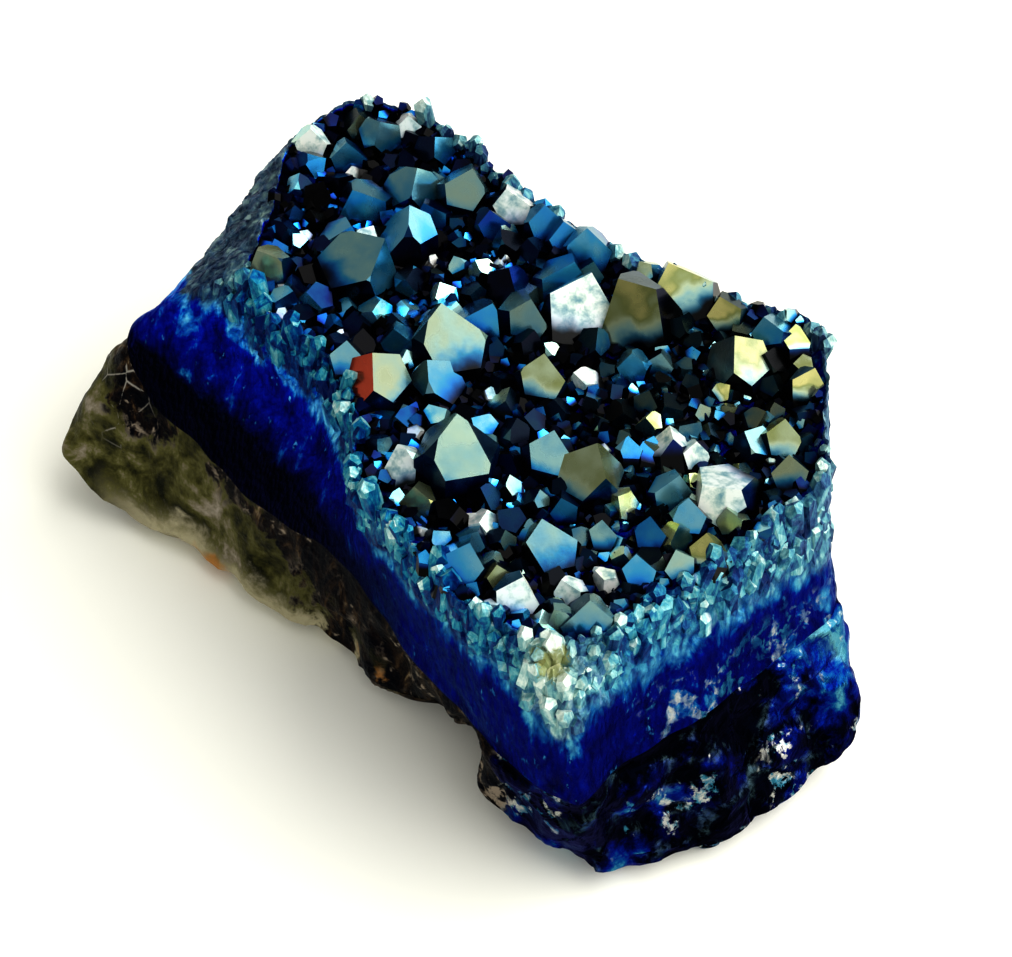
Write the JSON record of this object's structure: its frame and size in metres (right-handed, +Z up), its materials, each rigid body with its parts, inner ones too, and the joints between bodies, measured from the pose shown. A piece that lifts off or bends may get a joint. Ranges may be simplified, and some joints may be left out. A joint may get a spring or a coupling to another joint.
{
  "type": "aura quartz geode",
  "caption": "Broken block of dark host rock under a crust of blue metal-coated quartz, with pyramid points covering its flat top and a scoop in one long side.",
  "frame": {"origin": "middle of the block's box, on the surface that it rests on", "axes": "+Z up from the flat rest face; +X along the long side toward the thick near end"},
  "size_m": [0.0875, 0.0521, 0.0372],
  "materials": {
    "host_rock": "rough broken rock, blue-black at the near end and olive grey on the slab",
    "aura_quartz": "glossy metal-vapour coating, deep blue in the gaps and teal to olive on the faces"
  },
  "bodies": {
    "root": {"host_rock": "host_rock", "crystal_crust": "aura_quartz"}
  },
  "joints": []
}
